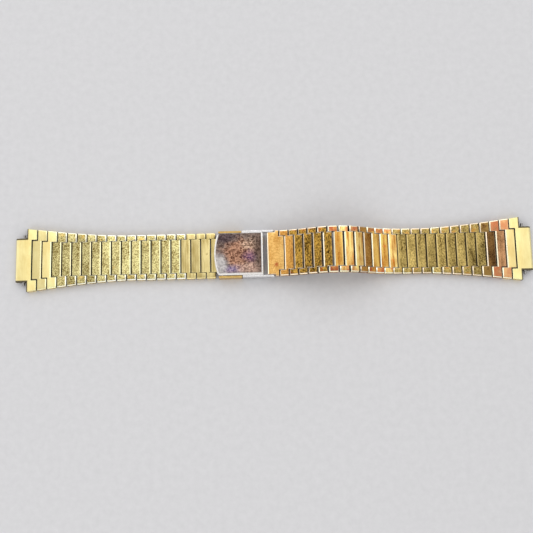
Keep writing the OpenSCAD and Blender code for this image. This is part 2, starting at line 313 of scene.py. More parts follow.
class PieceTree(Nodes):
    """A Geometry Nodes tree that makes one piece of the band, in millimetres."""

    def __init__(self, name, inputs):
        super().__init__(bpy.data.node_groups.new(name, "GeometryNodeTree"))
        sockets = self.tree.interface
        sockets.new_socket("Geometry", in_out="INPUT", socket_type="NodeSocketGeometry")
        for label, kind in inputs:
            sockets.new_socket(label, in_out="INPUT", socket_type=kind)
        sockets.new_socket("Geometry", in_out="OUTPUT", socket_type="NodeSocketGeometry")
        self.given = self.add("NodeGroupInput").outputs
        self.result = self.add("NodeGroupOutput").inputs

    def pick(self, kind, values):
        """One value for each index, such as the places of an outline's corners."""
        node = self.add("GeometryNodeIndexSwitch", data_type=kind)
        for _ in values[2:]:
            node.index_switch_items.new()
        self.feed(node.inputs["Index"], self.out("GeometryNodeInputIndex"))
        for place, value in enumerate(values):
            self.feed(node.inputs[place + 1], value)
        return node.outputs[0]

    def chain(self, places):
        """A curve through the places, in order."""
        line = self.out("GeometryNodeMeshLine", {"Count": len(places)})
        moved = self.out(
            "GeometryNodeSetPosition", {"Geometry": line, "Position": self.pick("VECTOR", places)}
        )
        return self.out("GeometryNodeMeshToCurve", {"Mesh": moved})

    def outline(self, corners, middle):
        """A closed side view from (x, z, rounding) corners, about its middle in X."""
        places = [(x - middle, -z, 0.0) for x, z, _ in corners]
        ring = self.out(
            "GeometryNodeSetSplineCyclic", {"Geometry": self.chain(places), "Cyclic": True}
        )
        rounding = self.pick("FLOAT", [rounding for _, _, rounding in corners])
        fillet = self.add(
            "GeometryNodeFilletCurve",
            {"Curve": ring, "Radius": rounding, "Limit Radius": True},
            mode="POLY",
        )
        self.feed(fillet.inputs["Count"], ROUND_STEPS)
        return fillet.outputs[0]

    def drawn(self, profile, middle, near, far, rounding, full=None):
        """A profile drawn along Y from near to far, with its end corners rounded.

        full is how far from the far end the profile still has its full size.
        """
        stations = [
            (near, 1 - rounding),
            (self.plus(near, FIRST_STEP * rounding), 1 - FIRST_STEP * rounding),
            (self.plus(near, rounding), 1.0),
            (self.minus(far, full or rounding), 1.0),
            (self.minus(far, FIRST_STEP * rounding), 1 - FIRST_STEP * rounding),
            (far, 1 - rounding),
        ]
        path = self.chain([self.vector(middle, y, 0.0) for y, _ in stations])
        sized = self.pick("FLOAT", [scale for _, scale in stations])
        return self.out(
            "GeometryNodeCurveToMesh",
            {"Curve": path, "Profile Curve": profile, "Scale": sized, "Fill Caps": True},
        )

    def block(self, corners, middle, near, far, rounding, full=None):
        """A solid whose side view has the corners."""
        return self.drawn(self.outline(corners, middle), middle, near, far, rounding, full)

    def centred(self, corners, middle, half, rounding):
        """A solid that reaches as far to the front of the band as to its back."""
        return self.block(corners, middle, self.times(half, -1.0), half, rounding)

    def rod(self, radius, middle, half, chamfer):
        """A pin along Y, with its ends rounded."""
        circle = self.out(
            "GeometryNodeCurvePrimitiveCircle", {"Resolution": PIN_SIDES, "Radius": radius}
        )
        return self.drawn(circle, middle, self.times(half, -1.0), half, chamfer)

    def bored(self, solid, radius, middle, half):
        """The solid without a round hole along Y."""
        cutter = self.rod(radius, middle, half, 0.0)
        node = self.add(
            "GeometryNodeMeshBoolean", {"Mesh 1": solid}, operation="DIFFERENCE", solver="EXACT"
        )
        self.feed(node.inputs["Mesh 2"], cutter)
        return node.outputs[0]

    def both_sides(self, solid):
        """The solid and its mirror image on the other side of the band."""
        other = self.out("GeometryNodeTransform", {"Geometry": solid, "Scale": (1.0, -1.0, 1.0)})
        return self.join(solid, self.out("GeometryNodeFlipFaces", {"Mesh": other}))

    def united(self, *solids):
        """One solid from several that overlap."""
        node = self.add("GeometryNodeMeshBoolean", operation="UNION", solver="EXACT")
        for solid in solids:
            self.feed(node.inputs["Mesh 2"], solid)
        return node.outputs[0]

    def join(self, *parts):
        node = self.add("GeometryNodeJoinGeometry")
        for part in parts:
            self.feed(node.inputs[0], part)
        return node.outputs[0]

    def kept(self, part, name, kind, value, domain="POINT"):
        """Keeps a value on the mesh for its material to read."""
        return self.out(
            "GeometryNodeStoreNamedAttribute",
            {"Geometry": part, "Name": name, "Value": value},
            data_type=kind,
            domain=domain,
        )

    def marked(self, part, slot, back):
        """Keeps on the mesh what its finish reads: edges, faces that get painted shade in the
        gaps, and places.
        """
        facing_x, facing_y, facing_z = self.axes(self.out("GeometryNodeInputNormal"))
        where = self.out("GeometryNodeInputPosition")
        x, y, _ = self.axes(where)
        upright = self.band(self.absolute(facing_y), *FLANK_FACING)
        part = self.kept(part, "flank", "FLOAT", upright, "FACE")
        # polished edges, whose finish paints a highlight on them, but for the one that faces away
        # from the clasp
        edge = self.band(self.absolute(facing_z), *EDGE_FACING)
        trim = self.times(edge, self.band(facing_x, *AWAY_FACING, DULL_TRIM, 1.0))
        part = self.kept(part, "trim", "FLOAT", trim, "FACE")
        # painted shade on the faces inside the gaps
        inward = self.band(self.absolute(facing_x), *GAP_FACING)
        inward = self.times(inward, self.beyond(x, GAP_FROM_X))
        within = self.below(self.absolute(y), self.plus(slot, GAP_MARGIN))
        gap_shade = self.larger(inward, self.times(upright, within))
        part = self.kept(part, "gap_shade", "FLOAT", gap_shade, "FACE")
        part = self.kept(part, "slot", "FLOAT", slot)
        part = self.kept(part, "back", "FLOAT", back)
        part = self.kept(part, "link_place", "FLOAT_VECTOR", where)
        return self.kept(part, "tone", "FLOAT", self.given["Tone"])

    def creased(self, part):
        """The piece shaded smooth, but for its sharp bends."""
        smooth = self.out("GeometryNodeSetShadeSmooth", {"Geometry": part, "Shade Smooth": True})
        bend = self.out("GeometryNodeInputMeshEdgeAngle")
        return self.out(
            "GeometryNodeSetShadeSmooth",
            {
                "Geometry": smooth,
                "Selection": self.beyond(bend, SHARP_BEND),
                "Shade Smooth": False,
            },
            domain="EDGE",
        )

    def finish(self, part, slot, back=-BAR_BACK):
        """Marks the piece, puts it in the band, coats it and ends the tree.

        slot is half the width between the side blocks, where the next bar turns,
        and back is where painted shade lies along the bar's far edge.
        """
        part = self.creased(self.marked(part, slot, back))
        turn = self.out("FunctionNodeEulerToRotation", {"Euler": self.given["Turn"]})
        placed = self.out(
            "GeometryNodeTransform",
            {"Geometry": part, "Translation": self.given["Place"], "Rotation": turn},
        )
        metres = self.out("GeometryNodeTransform", {"Geometry": placed, "Scale": (MM, MM, MM)})
        whole = self.out("GeometryNodeRealizeInstances", {"Geometry": metres})
        # the steel of the pin stays as it is
        pin = self.add("GeometryNodeInputNamedAttribute", {"Name": "steel"}, data_type="FLOAT")
        coated = self.out(
            "GeometryNodeSetMaterial",
            {
                "Geometry": whole,
                "Selection": self.below(pin.outputs["Attribute"], 0.5),
                "Material": self.given["Finish"],
            },
        )
        self.feed(self.result[0], coated)


COMMON_INPUTS = [
    ("Tone", "NodeSocketFloat"),
    ("Place", "NodeSocketVector"),
    ("Turn", "NodeSocketVector"),
    ("Finish", "NodeSocketMaterial"),
]
LINK_WIDTHS = ("Bar length", "Slot width", "Width at start", "Width at end", "Pin length")
LINK_INPUTS = [(label, "NodeSocketFloat") for label in LINK_WIDTHS] + COMMON_INPUTS


def plain_corners(start, end, start_round, end_round, under=-HALF_T):
    """Side view of a plain bar from start to end, as thick as a link."""
    return [
        (start, under, start_round),
        (start, HALF_T, start_round),
        (end, HALF_T, end_round),
        (end, under, end_round),
    ]


def bar_corners(front):
    """Side view of a centre bar: round below its pin hole, polished in front."""
    return [
        (-BAR_BACK, -HALF_T, BAR_BACK),
        (-BAR_BACK, HALF_T, BACK_EDGE),
        (front - POLISHED_EDGE, HALF_T, SHARP_EDGE),
        (front, HALF_T - POLISHED_DROP, SHARP_EDGE),
        (front, -HALF_T, EDGE),
    ]


def tongue_corners(tip, under):
    """Side view of a plain tongue, round below its free end."""
    return [
        (tip, -HALF_T, under),
        (tip, HALF_T, min(under, -SHOULDER_START - tip)),
        (BAR_FRONT, HALF_T, EDGE),
        (BAR_FRONT, -HALF_T, EDGE),
    ]


def block_corners(start, edge, drop):
    """Side view of a side block, cut back below its inner end."""
    return [
        (start, -HALF_T, EDGE),
        (start, HALF_T, BACK_EDGE),
        (BLOCK_END - edge, HALF_T, SHARP_EDGE),
        (BLOCK_END, HALF_T - drop, SHARP_EDGE),
        (BLOCK_END, BLOCK_CUT_Z, EDGE),
        (BLOCK_CUT_X, -HALF_T, EDGE),
    ]


def wide_corners():
    """Side view of the wide link: polished in front, cut back below."""
    return [
        (BLOCK_START, -HALF_T, EDGE),
        (BLOCK_START, HALF_T, EDGE),
        (WIDE_REACH - POLISHED_EDGE, HALF_T, EDGE),
        (WIDE_REACH, HALF_T - POLISHED_DROP, EDGE),
        (WIDE_REACH, WIDE_BEVEL - HALF_T, EDGE),
        (WIDE_REACH - WIDE_BEVEL, -HALF_T, EDGE),
    ]


def shaped_side(t, side, start, widths, edge, drop):
    """A side block with its outer face along the taper, and a wide polished edge on it.

    widths are half the slot, and half the band at the block's start and at its end.
    """
    slot, outer, outer_end = widths
    x, y, z = t.axes(t.out("GeometryNodeInputPosition"))
    fall = t.band(t.minus(outer, y), edge, 0.0, 0.0, -drop)
    fall = t.times(fall, t.beyond(z, OUTER_FROM_Z))
    flank = t.band(x, start, BLOCK_END, outer, outer_end)
    share = t.over(t.minus(y, slot), t.minus(outer, slot))
    shift = t.times(t.minus(flank, outer), share)
    offset = t.vector(0.0, shift, fall)
    return t.out("GeometryNodeSetPosition", {"Geometry": side, "Offset": offset})


def link_tree(name, bar, bar_middle, start, end_piece, steel):
    """Centre bar or tongue, two side blocks, the web between them and the pin."""
    edge, drop, out_edge, out_drop = POLISHED_EDGE, POLISHED_DROP, OUTER_EDGE, OUTER_DROP
    hole = (TURN_BORE_R, 0.0, BAR_BORE)
    back = -BAR_BACK
    if end_piece:
        edge = drop = out_edge = out_drop = SHOULDER_EDGE
        hole = (SPRING_BORE_R, SPRING_X, BAR_BORE)
        back = 2 * TONGUE_TIP
    t = PieceTree(name, LINK_INPUTS)
    half_bar, slot, outer, outer_end, half_pin = [t.times(t.given[w], 0.5) for w in LINK_WIDTHS]
    centre = t.centred(bar, bar_middle, half_bar, EDGE)
    side = t.block(block_corners(start, edge, drop), BLOCK_MID, slot, outer, BLOCK_ROUND, out_edge)
    side = shaped_side(t, side, start, (slot, outer, outer_end), out_edge, out_drop)
    web = plain_corners(
        start + EDGE, BAR_FRONT - POLISHED_EDGE, WEB_EDGE, WEB_EDGE, WEB_RISE - HALF_T
    )
    web = t.centred(web, WEB_MID, t.plus(slot, WEB_GRIP), WEB_ROUND)
    pin = t.rod(PIN_R, PITCH, half_pin, PIN_CHAMFER)
    pin = t.out("GeometryNodeSetMaterial", {"Geometry": pin, "Material": steel})
    whole = t.united(centre, t.both_sides(side), web)
    whole = t.bored(whole, HELD_BORE_R, PITCH, BAND_BORE)
    whole = t.bored(whole, *hole)
    t.finish(t.join(whole, t.kept(pin, "steel", "FLOAT", 1.0)), slot, back)
    return t.tree


def clasp_link_tree(name, bar, bar_middle, half_bar, others):
    """A link next to the clasp: its centre bar, and others from (corners, middle, half)."""
    t = PieceTree(name, COMMON_INPUTS)
    solids = [t.centred(bar, bar_middle, half_bar, EDGE)]
    solids += [t.centred(*other, EDGE) for other in others]
    whole = t.united(*solids)
    for hole in (0.0, PITCH):
        whole = t.bored(whole, TURN_BORE_R, hole, BAR_BORE)
    t.finish(whole, half_bar)
    return t.tree


def band_width(distance):
    """Width of the band at a distance from the shoulders, in millimetres."""
    left = max(0.0, 1 - distance / TAPER_LEN)
    return NARROW_W + (END_W - NARROW_W) * left**TAPER_POWER


def bar_length(k):
    """Length across the band of the centre bar of link k."""
    left = max(0.0, (BAR_MORE_TO - k) / (BAR_MORE_TO - 1))
    return BAR_LEN + BAR_MORE * left**BAR_POWER


def made(name, tree, sizes):
    """Runs a tree with its sizes and returns the result as a plain mesh object."""
    piece = bpy.data.objects.new(name, bpy.data.meshes.new(name))
    bpy.context.scene.collection.objects.link(piece)
    maker = piece.modifiers.new("made", "NODES")
    maker.node_group = tree
    for socket in tree.interface.items_tree:
        if socket.in_out == "INPUT" and socket.name in sizes:
            maker[socket.identifier] = sizes[socket.name]
    shading = piece.modifiers.new("shading", "WEIGHTED_NORMAL")
    shading.keep_sharp = True
    shading.weight = FLAT_WEIGHT
    graph = bpy.context.evaluated_depsgraph_get()
    mesh = bpy.data.meshes.new_from_object(
        piece.evaluated_get(graph), preserve_all_data_layers=True, depsgraph=graph
    )
    piece.modifiers.clear()
    piece.data = mesh
    mesh.name = name
    return piece


# ------------------------------------------------------------------- finishes


class Finish(Nodes):
    """A metal finish, written as plain calls on Object coordinates in millimetres."""

    def __init__(self, name):
        self.material = bpy.data.materials.new(name)
        self.material.use_nodes = True
        super().__init__(self.material.node_tree)
        self.shader = self.tree.nodes["Principled BSDF"]
        self.shader.inputs["Metallic"].default_value = 1.0
        where = self.add("ShaderNodeTexCoord").outputs["Object"]
        self.where = self.out(
            "ShaderNodeVectorMath", {"Vector": where, "Scale": 1 / MM}, operation="SCALE"
        )

    def noise(
        self, scale, stretch=(1.0, 1.0, 1.0), shift=(0.0, 0.0, 0.0), detail=3.0, rough=0.55,
        bent=0.0, slant=0.0,
    ):
        """Noise with so many spots to the millimetre along each axis, and a slant in degrees."""
        placed = self.out(
            "ShaderNodeMapping",
            {
                "Vector": self.where,
                "Location": shift,
                "Rotation": (0.0, 0.0, math.radians(slant)),
                "Scale": stretch,
            },
        )
        return self.add(
            "ShaderNodeTexNoise",
            {
                "Vector": placed,
                "Scale": scale,
                "Detail": detail,
                "Roughness": rough,
                "Distortion": bent,
            },
        ).outputs["Fac"]

    def grains(self, scale, ragged):
        """Grains with tones from 0 to 1, so many to the millimetre, and ragged by so much."""
        shaken = self.add(
            "ShaderNodeTexNoise", {"Vector": self.where, "Scale": 3.0, "Detail": 2.0}
        ).outputs["Color"]
        moved = self.out(
            "ShaderNodeVectorMath",
            {0: shaken, 1: (ragged, ragged, ragged), 2: self.where},
            operation="MULTIPLY_ADD",
        )
        cells = self.add("ShaderNodeTexVoronoi", {"Vector": moved, "Scale": scale})
        return self.out("ShaderNodeSeparateColor", {"Color": cells.outputs["Color"]})

    def mix(self, amount, low, high, blend="MIX"):
        """A colour between two, or their blend."""
        node = self.add("ShaderNodeMix", data_type="RGBA", blend_type=blend)
        self.feed(node.inputs["Factor"], amount)
        self.feed(node.inputs[6], low)
        self.feed(node.inputs[7], high)
        return node.outputs[2]

    def between(self, amount, low, high):
        """A number between two."""
        return self.out("ShaderNodeMix", {"Factor": amount, "A": low, "B": high})

    def mark(self, name):
        """A value that the mesh keeps under this name."""
        return self.add("ShaderNodeAttribute", attribute_name=name).outputs["Fac"]

    def relief(self, height, depth, strength):
        """Raises the surface by a height from 0 to 1, with a depth in millimetres."""
        return self.out(
            "ShaderNodeBump", {"Height": height, "Distance": depth * MM, "Strength": strength}
        )

    def coat(self, colour, roughness, normal):
        self.feed(self.shader.inputs["Base Color"], colour)
        self.feed(self.shader.inputs["Roughness"], roughness)
        self.feed(self.shader.inputs["Normal"], normal)
        return self.material


def link_gap_shade(f, x, beside, seam):
    """Painted shade in the gaps, and along the edges that face away from the clasp."""
    behind_bar = f.band(f.minus(x, f.mark("back")), seam, seam / 3)
    behind_block = f.times(f.band(x, BLOCK_START + seam, BLOCK_START + seam / 3), beside)
    return f.larger(f.mark("gap_shade"), f.times(f.larger(behind_bar, behind_block), SHADE_BEHIND))


def rusted(f, colour, x, y, bark, spot):
    """The colour with one rusty spot, ragged with the bark."""
    away = f.add(
        "ShaderNodeVectorMath", {0: f.vector(x, y, 0.0), 1: (*spot, 0.0)}, operation="DISTANCE"
    ).outputs["Value"]
    away = f.plus(away, f.times(f.minus(bark, 0.5), RUST_RAGGED))
    return f.mix(f.band(away, *RUST_REACH, 0.0, RUST_FULL), colour, RUST)


def gold_finish(
    name, pale, deep, rim=WARM_WHITE, side_rim=None,
    grain=0.0, brush=0.0, streak=0.0, turned=False,
    stain=None, stained=0.0, tint=None, tinted=0.0, rust=None, rough=0.36, seam=0.15,
    bark_size=2.9, bark_edge=0.08, bark_stretch=(1.2, 0.9, 1.0), bark_slant=0.0,
):
    """Gold plate on links: a grained, brushed or streaked face, with polished edges.

    pale and deep are the tones of the face, and grain, brush and streak the
    shares of its patterns. rim is the colour of the polished edges, which paints
    their highlight, and side_rim that of the side blocks' edges where it differs.
    turned brushes the face along the band. stain and stained are the colour of
    worn spots and their share of the face, tint and tinted the same for the side
    blocks, where the tint is partly wear and partly painted reflection. rust is
    the place of one rusty spot on the link, and seam the width of the painted
    shade behind a bar, in millimetres.
    """
    f = Finish(name)
    trim = f.mark("trim")
    place = f.add("ShaderNodeAttribute", attribute_name="link_place").outputs["Vector"]
    x, y, _ = f.axes(place)
    beside = f.beyond(f.absolute(y), f.mark("slot"))
    gap_shade = link_gap_shade(f, x, beside, seam)

    # the patterns
    bark = f.noise(bark_size, bark_stretch, rough=0.7, bent=0.5, slant=bark_slant)
    fine = f.noise(9.0, shift=(4.0, 7.0, 1.0), detail=2.0, rough=0.6)
    drawn = (0.3, 5.0, 4.2) if turned else (4.2, 0.14, 4.2)
    lines = f.noise(1.0, drawn, (2.0, 0.0, 3.0), rough=0.65)
    bands = f.noise(1.0, (0.9, 0.07, 0.9), (6.0, 2.0, 1.0), rough=0.6, bent=0.4)
    cloud = f.noise(0.3, (1.0, 0.55, 1.0), (9.0, 3.0, 5.0))
    spot = f.noise(0.62, (1.0, 0.7, 1.0), (1.0, 8.0, 2.0), detail=4.0, rough=0.62)

    # the face, from deep to pale
    grained = f.times(f.band(bark, 0.5 - bark_edge, 0.5 + bark_edge), grain)
    brushed = f.times(f.band(lines, 0.34, 0.66), brush)
    streaked = f.times(f.band(bands, 0.36, 0.64), streak)
    plain = f.times(f.band(cloud, 0.3, 0.7), max(0.0, 1 - grain - brush - streak))
    light = f.plus(f.plus(grained, brushed), f.plus(streaked, plain))
    patch = f.band(cloud, 0.35, 0.65, -0.2, 0.2)
    colour = f.mix(f.maths("ADD", light, patch, clamp=True), deep, pale)

    # wear: stains, the tint of the side blocks and rust
    if stain:
        level = WORN_LEVEL - STAIN_FALL * stained
        amount = f.times(f.band(spot, level, level + STAIN_SOFT), STAIN_FULL)
        colour = f.mix(amount, colour, stain)
    if tint:
        worn = f.noise(0.5, shift=(3.0, 9.0, 6.0), detail=2.0, rough=0.5)
        level = WORN_LEVEL - TINT_FALL * tinted
        amount = f.times(beside, f.band(worn, level, level + TINT_SOFT, 0.0, TINT_FULL))
        tone = f.mix(f.band(spot, 0.4, 0.6), tint, f.mix(0.3, tint, pale))
        colour = f.mix(amount, colour, tone)
    if rust:
        colour = rusted(f, colour, x, y, bark, rust)

    # the polished edges with their painted highlight, the tone of the link with its painted light
    # and shade, and the painted shade in the gaps
    # painted highlight: the polished edges take the rim colour, brighter than the face
    edge_colour = f.mix(beside, rim, side_rim) if side_rim else rim
    flank_colour = f.mix(1.0, f.mix(0.3, pale, deep), WARM_WHITE, "MULTIPLY")
    colour = f.mix(trim, colour, f.mix(f.mark("flank"), edge_colour, flank_colour))
    # painted light: each bar brighter towards the clasp, and each link lighter or darker by its
    # tone
    painted_lean = f.band(x, -BAR_BACK, BAR_FRONT, *PAINTED_LEAN)
    shade = f.times(painted_lean, f.maths("MULTIPLY_ADD", f.mark("tone"), TONE_GAIN, TONE_BASE))
    colour = f.mix(1.0, colour, f.vector(shade, shade, shade), "MULTIPLY")
    # painted shade in the gaps between links and behind their bars and blocks
    colour = f.mix(gap_shade, colour, GAP_SHADE)
    f.feed(f.shader.inputs["Metallic"], f.band(gap_shade, 0.0, 1.0, 1.0, SHADE_METAL))

    # gloss and relief
    satin = f.band(fine, 0.3, 0.7, rough - GLOSSIER, rough + DULLER)
    gloss = f.plus(f.between(trim, satin, EDGE_GLOSS), f.times(gap_shade, SHADE_DULLER))
    height = f.plus(f.times(bark, grain), f.times(lines, 0.35 * brush))
    height = f.times(f.plus(height, f.times(fine, 0.12)), f.minus(1.0, trim))
    return f.coat(colour, gloss, f.relief(height, depth=0.06, strength=0.8))


# Tarnish of the cover, one patch over another: centre and reach along X and Y in
# millimetres, softness of the edge, strength, and the dark and the light tone
COVER_PATCHES = (
    ((-0.9, 0.2), (4.8, 4.4), 0.3, 0.95, (76, 38, 28), (204, 156, 128)),
    ((-5.2, 5.3), (3.8, 1.7), 0.4, 0.9, (52, 42, 46), (104, 88, 92)),
    ((2.4, 3.0), (2.2, 1.6), 0.6, 0.8, (96, 68, 52), (236, 204, 178)),
    ((2.7, -0.8), (1.8, 1.5), 0.7, 0.6, (80, 58, 104), (146, 108, 150)),
    ((-3.2, -4.8), (2.8, 1.1), 0.6, 0.7, (112, 98, 150), (196, 174, 200)),
    ((2.0, -4.4), (3.4, 1.4), 0.5, 0.8, (140, 108, 96), (232, 196, 176)),
    ((6.0, 1.0), (2.2, 6.4), 0.4, 0.9, (54, 42, 36), (120, 98, 86)),
    ((-7.0, -3.6), (2.4, 3.2), 0.35, 0.9, (172, 168, 168), (212, 208, 206)),
)


def patch_share(f, x, y, drift, centre, reach, soft, full):
    """How much a ragged patch about its centre covers, up to full."""
    across = f.over(f.minus(x, centre[0]), reach[0])
    along = f.over(f.minus(y, centre[1]), reach[1])
    ragged = f.plus(f.hypotenuse(across, along), f.times(f.minus(drift, 0.5), 1.8))
    return f.band(ragged, 1 + soft, 1 - soft, 0.0, full)


def rubbed_sheen_share(f, x, y, drift):
    """How bright the cover is rubbed, with a painted highlight along its rim: along its lip, its
    near side, its end and edges.
    """
    lip_x = f.minus(x, LIP_RADIUS - LIP_REACH)
    start, full = (LIP_RADIUS - inwards for inwards in LIP_RUBBED_SHEEN)
    lip = f.times(f.band(f.hypotenuse(lip_x, y), start, full), f.below(x, 0.0))
    near = f.band(y, *NEAR_RUBBED_SHEEN)
    end = f.band(x, *END_RUBBED_SHEEN)
    rubbed_sheen = f.larger(f.larger(lip, near), f.larger(end, f.mark("trim")))
    return f.times(rubbed_sheen, f.band(drift, 0.25, 0.45, 0.5, 1.0))


def cover_finish():
    """Worn steel plate: brown and violet tarnish, grey where it is rubbed bare, with a painted
    highlight along its rim.
    """
    f = Finish("worn steel cover")
    x, y, _ = f.axes(f.where)
    grit = f.noise(2.2, shift=(5.0, 2.0, 0.0), detail=4.0, rough=0.75)
    drift = f.noise(0.42, shift=(3.0, 1.0, 0.0), detail=4.0, rough=0.62)
    scratch = f.noise(1.0, (0.8, 12.0, 1.0), (3.0, 3.0, 0.0), detail=2.0, rough=0.5)
    coarse = f.times(f.band(f.grains(2.4, 0.22), 0.4, 0.6), 0.6)
    speck = f.maths("MULTIPLY_ADD", f.band(grit, 0.45, 0.55), 0.4, coarse)
    colour = f.mix(speck, linear(84, 70, 66), linear(150, 130, 120))
    for centre, reach, soft, full, dark, light in COVER_PATCHES:
        share = patch_share(f, x, y, drift, centre, reach, soft, full)
        colour = f.mix(share, colour, f.mix(speck, linear(*dark), linear(*light)))
    rubbed_sheen = rubbed_sheen_share(f, x, y, drift)
    # rubbed bare steel, and a painted highlight along the cover's rim
    colour = f.mix(rubbed_sheen, colour, BARE_STEEL_SHEEN)
    gloss = f.between(rubbed_sheen, f.band(grit, 0.3, 0.7, 0.36, 0.52), EDGE_GLOSS)
    height = f.plus(f.times(grit, 0.6), f.times(scratch, 0.3))
    return f.coat(colour, gloss, f.relief(height, depth=0.02, strength=0.7))


def steel_finish(name, pale, deep, stretch, rough):
    """Plain steel or gold leaf with drawn lines, and a painted highlight on its edges."""
    f = Finish(name)
    lines = f.noise(1.0, stretch, (1.0, 6.0, 2.0), rough=0.6)
    spots = f.noise(1.2, shift=(7.0, 2.0, 4.0), detail=4.0, rough=0.65)
    colour = f.mix(f.band(lines, 0.32, 0.68), deep, pale)
    colour = f.mix(f.times(f.band(spots, 0.6, 0.75), 0.5), colour, deep)
    # painted highlight on the eased edges
    colour = f.mix(f.times(f.mark("trim"), 0.6), colour, pale)
    gloss = f.band(spots, 0.3, 0.7, rough - 0.05, rough + 0.08)
    return f.coat(colour, gloss, f.relief(lines, depth=0.012, strength=0.6))


def floor_finish():
    """A pale, plain floor."""
    f = Finish("pale floor")
    f.shader.inputs["Metallic"].default_value = 0.0
    f.shader.inputs["Roughness"].default_value = 0.8
    f.shader.inputs["Specular IOR Level"].default_value = 0.2
    speck = f.band(f.noise(0.5, detail=4.0, rough=0.6), 0.3, 0.7)
    f.feed(
        f.shader.inputs["Base Color"], f.mix(speck, linear(205, 205, 208), linear(211, 211, 214))
    )
    return f.material


# ------------------------------------------------------------ pieces of the clasp


def eased_copy(node, name, edge, finishes, choose=lambda place, facing: 0):
    """A copy of a CAD node with its corners eased, so that they catch the light.

    choose picks the number of a face's finish from its place and the way it faces.
    """
    shape = bmesh.new()
    shape.from_mesh(frame["nodes"][node].data)
    bmesh.ops.remove_doubles(shape, verts=shape.verts, dist=SAME_POINT)
    bmesh.ops.dissolve_limit(shape, angle_limit=FLAT_BEND, verts=shape.verts, edges=shape.edges)
    mesh = bpy.data.meshes.new(name)
    shape.to_mesh(mesh)
    shape.free()
    piece = bpy.data.objects.new(name, mesh)
    bpy.context.scene.collection.objects.link(piece)
    easing = piece.modifiers.new("easing", "BEVEL")
    easing.width = edge * MM
    easing.segments = 2
    easing.limit_method = "ANGLE"
    easing.angle_limit = EASED_BEND
    easing.use_clamp_overlap = True
    ready = piece.evaluated_get(bpy.context.evaluated_depsgraph_get())
    mesh = bpy.data.meshes.new_from_object(ready)
    piece.modifiers.clear()
    piece.data = mesh
    mesh.materials.clear()
    for finish in finishes:
        mesh.materials.append(finish)
    trim = mesh.attributes.new("trim", "FLOAT", "FACE")
    for face in mesh.polygons:
        flat = max(abs(value) for value in face.normal) > FLAT_FACING
        trim.data[face.index].value = 0.0 if flat else 1.0
        face.material_index = choose(face.center / MM, face.normal)
        face.use_smooth = True
    mesh.set_sharp_from_angle(angle=SHARP_BEND)
    shading = piece.modifiers.new("shading", "WEIGHTED_NORMAL")
    shading.keep_sharp = True
    return piece


def cover_side(place, facing):
    """0 for the tarnished top of the cover, 1 for its rails, lip and arms."""
    on_plate = abs(place.y) < PLATE_HALF_W and place.x < PLATE_END
    return 0 if on_plate and facing.z > UP_FACING else 1


# ------------------------------------------------------------------ the making

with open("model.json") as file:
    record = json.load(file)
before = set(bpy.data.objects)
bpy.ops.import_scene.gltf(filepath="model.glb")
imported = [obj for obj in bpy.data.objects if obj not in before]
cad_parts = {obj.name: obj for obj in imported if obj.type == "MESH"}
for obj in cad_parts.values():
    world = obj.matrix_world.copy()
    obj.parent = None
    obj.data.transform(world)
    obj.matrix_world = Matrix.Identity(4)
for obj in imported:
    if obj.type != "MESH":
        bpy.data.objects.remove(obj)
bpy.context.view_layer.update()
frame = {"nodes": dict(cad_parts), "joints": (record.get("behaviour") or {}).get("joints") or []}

pale_plain = gold_finish(
    "plain satin gold", linear(250, 236, 172), linear(234, 214, 146), linear(255, 246, 196),
    brush=0.4, rough=0.4,
)
bark_gold = gold_finish(
    "bark gold", linear(252, 240, 172), linear(120, 98, 36), WHITE_GOLD, linear(255, 252, 230),
    grain=0.9, stain=linear(222, 178, 92), stained=0.15, tint=linear(228, 190, 100), tinted=0.3,
    rough=0.34, seam=0.2,
)
brushed_gold = gold_finish(
    "brushed gold", linear(240, 222, 160), linear(188, 166, 102), linear(244, 228, 168),
    brush=0.8, stain=linear(158, 134, 70), stained=0.15, rough=0.34,
)
# The finishes of the right half, from here to copper gold: their orange, amber, olive, khaki,
# brown and copper colours, their streaks and the red tint of their side blocks are partly painted
# highlight and reflection, from how each link faces the light
orange_gold = gold_finish(
    "orange satin gold", linear(240, 184, 98), linear(156, 98, 36),
    grain=0.6, brush=0.2, stain=linear(176, 88, 44), stained=0.25,
)
light_orange = gold_finish(
    "light orange satin gold", linear(255, 212, 132), linear(196, 138, 64),
    grain=0.5, brush=0.4, turned=True, stain=linear(206, 130, 66), stained=0.1,
    rust=(1.7, 3.6), rough=0.38,
)
olive_bark = gold_finish(
    "dark bark gold", linear(220, 172, 78), linear(58, 40, 10),
    grain=0.95, stain=linear(84, 66, 24), stained=0.3, tint=linear(166, 74, 44), tinted=0.5,
    bark_size=2.3, bark_edge=0.1, bark_stretch=(1.4, 0.8, 1.0), bark_slant=-35.0,
)
khaki_bark = gold_finish(
    "khaki bark gold", linear(222, 194, 118), linear(84, 66, 26), linear(202, 180, 122),
    WARM_WHITE, grain=0.65, brush=0.1, streak=0.25, tint=linear(196, 136, 52), tinted=0.4,
    seam=0.22, bark_size=2.5, bark_stretch=(1.3, 0.8, 1.0), bark_slant=30.0,
)
streaked_gold = gold_finish(
    "streaked gold", linear(255, 230, 148), linear(176, 110, 36),
    streak=0.9, stain=linear(226, 130, 62), stained=0.25, tint=linear(184, 82, 60), tinted=0.8,
    rough=0.26,
)
amber_gold = gold_finish(
    "amber gold", linear(255, 212, 118), linear(176, 112, 38),
    grain=0.2, streak=0.8, stain=linear(214, 112, 54), stained=0.3, tint=linear(164, 72, 54),
    tinted=0.85, rough=0.28,
)
brown_gold = gold_finish(
    "brown tarnished gold", linear(150, 112, 64), linear(58, 34, 18),
    grain=0.5, streak=0.4, tint=linear(156, 126, 70), tinted=0.9,
)
red_lit_sides = gold_finish(
    "satin gold worn at the sides", linear(250, 232, 164), linear(230, 202, 132),
    brush=0.4, tint=linear(206, 132, 92), tinted=1.5, rough=0.38,
)
